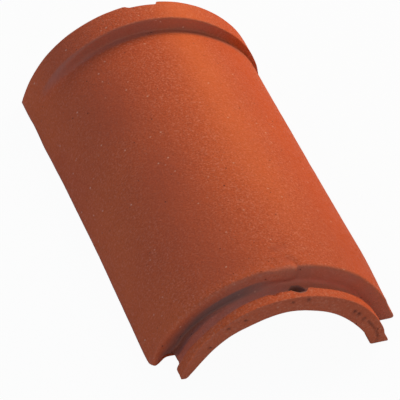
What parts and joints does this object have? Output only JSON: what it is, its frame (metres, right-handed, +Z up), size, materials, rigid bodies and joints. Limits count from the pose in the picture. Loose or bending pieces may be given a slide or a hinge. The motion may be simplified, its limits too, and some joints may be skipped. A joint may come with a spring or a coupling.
{
  "type": "clay ridge tile",
  "caption": "Half-round fired clay ridge tile with a raised collar at one end and a grooved, narrower neck with a nail hole at the other.",
  "frame": {"origin": "on the floor, in the middle of the tile's footprint", "axes": "+Y along the tile towards the collar, +X across it, +Z up through the crown"},
  "size_m": [0.219, 0.38, 0.0905],
  "materials": {
    "fired_clay": "matte"
  },
  "bodies": {
    "root": {"ridge_tile": "fired_clay"}
  },
  "joints": []
}
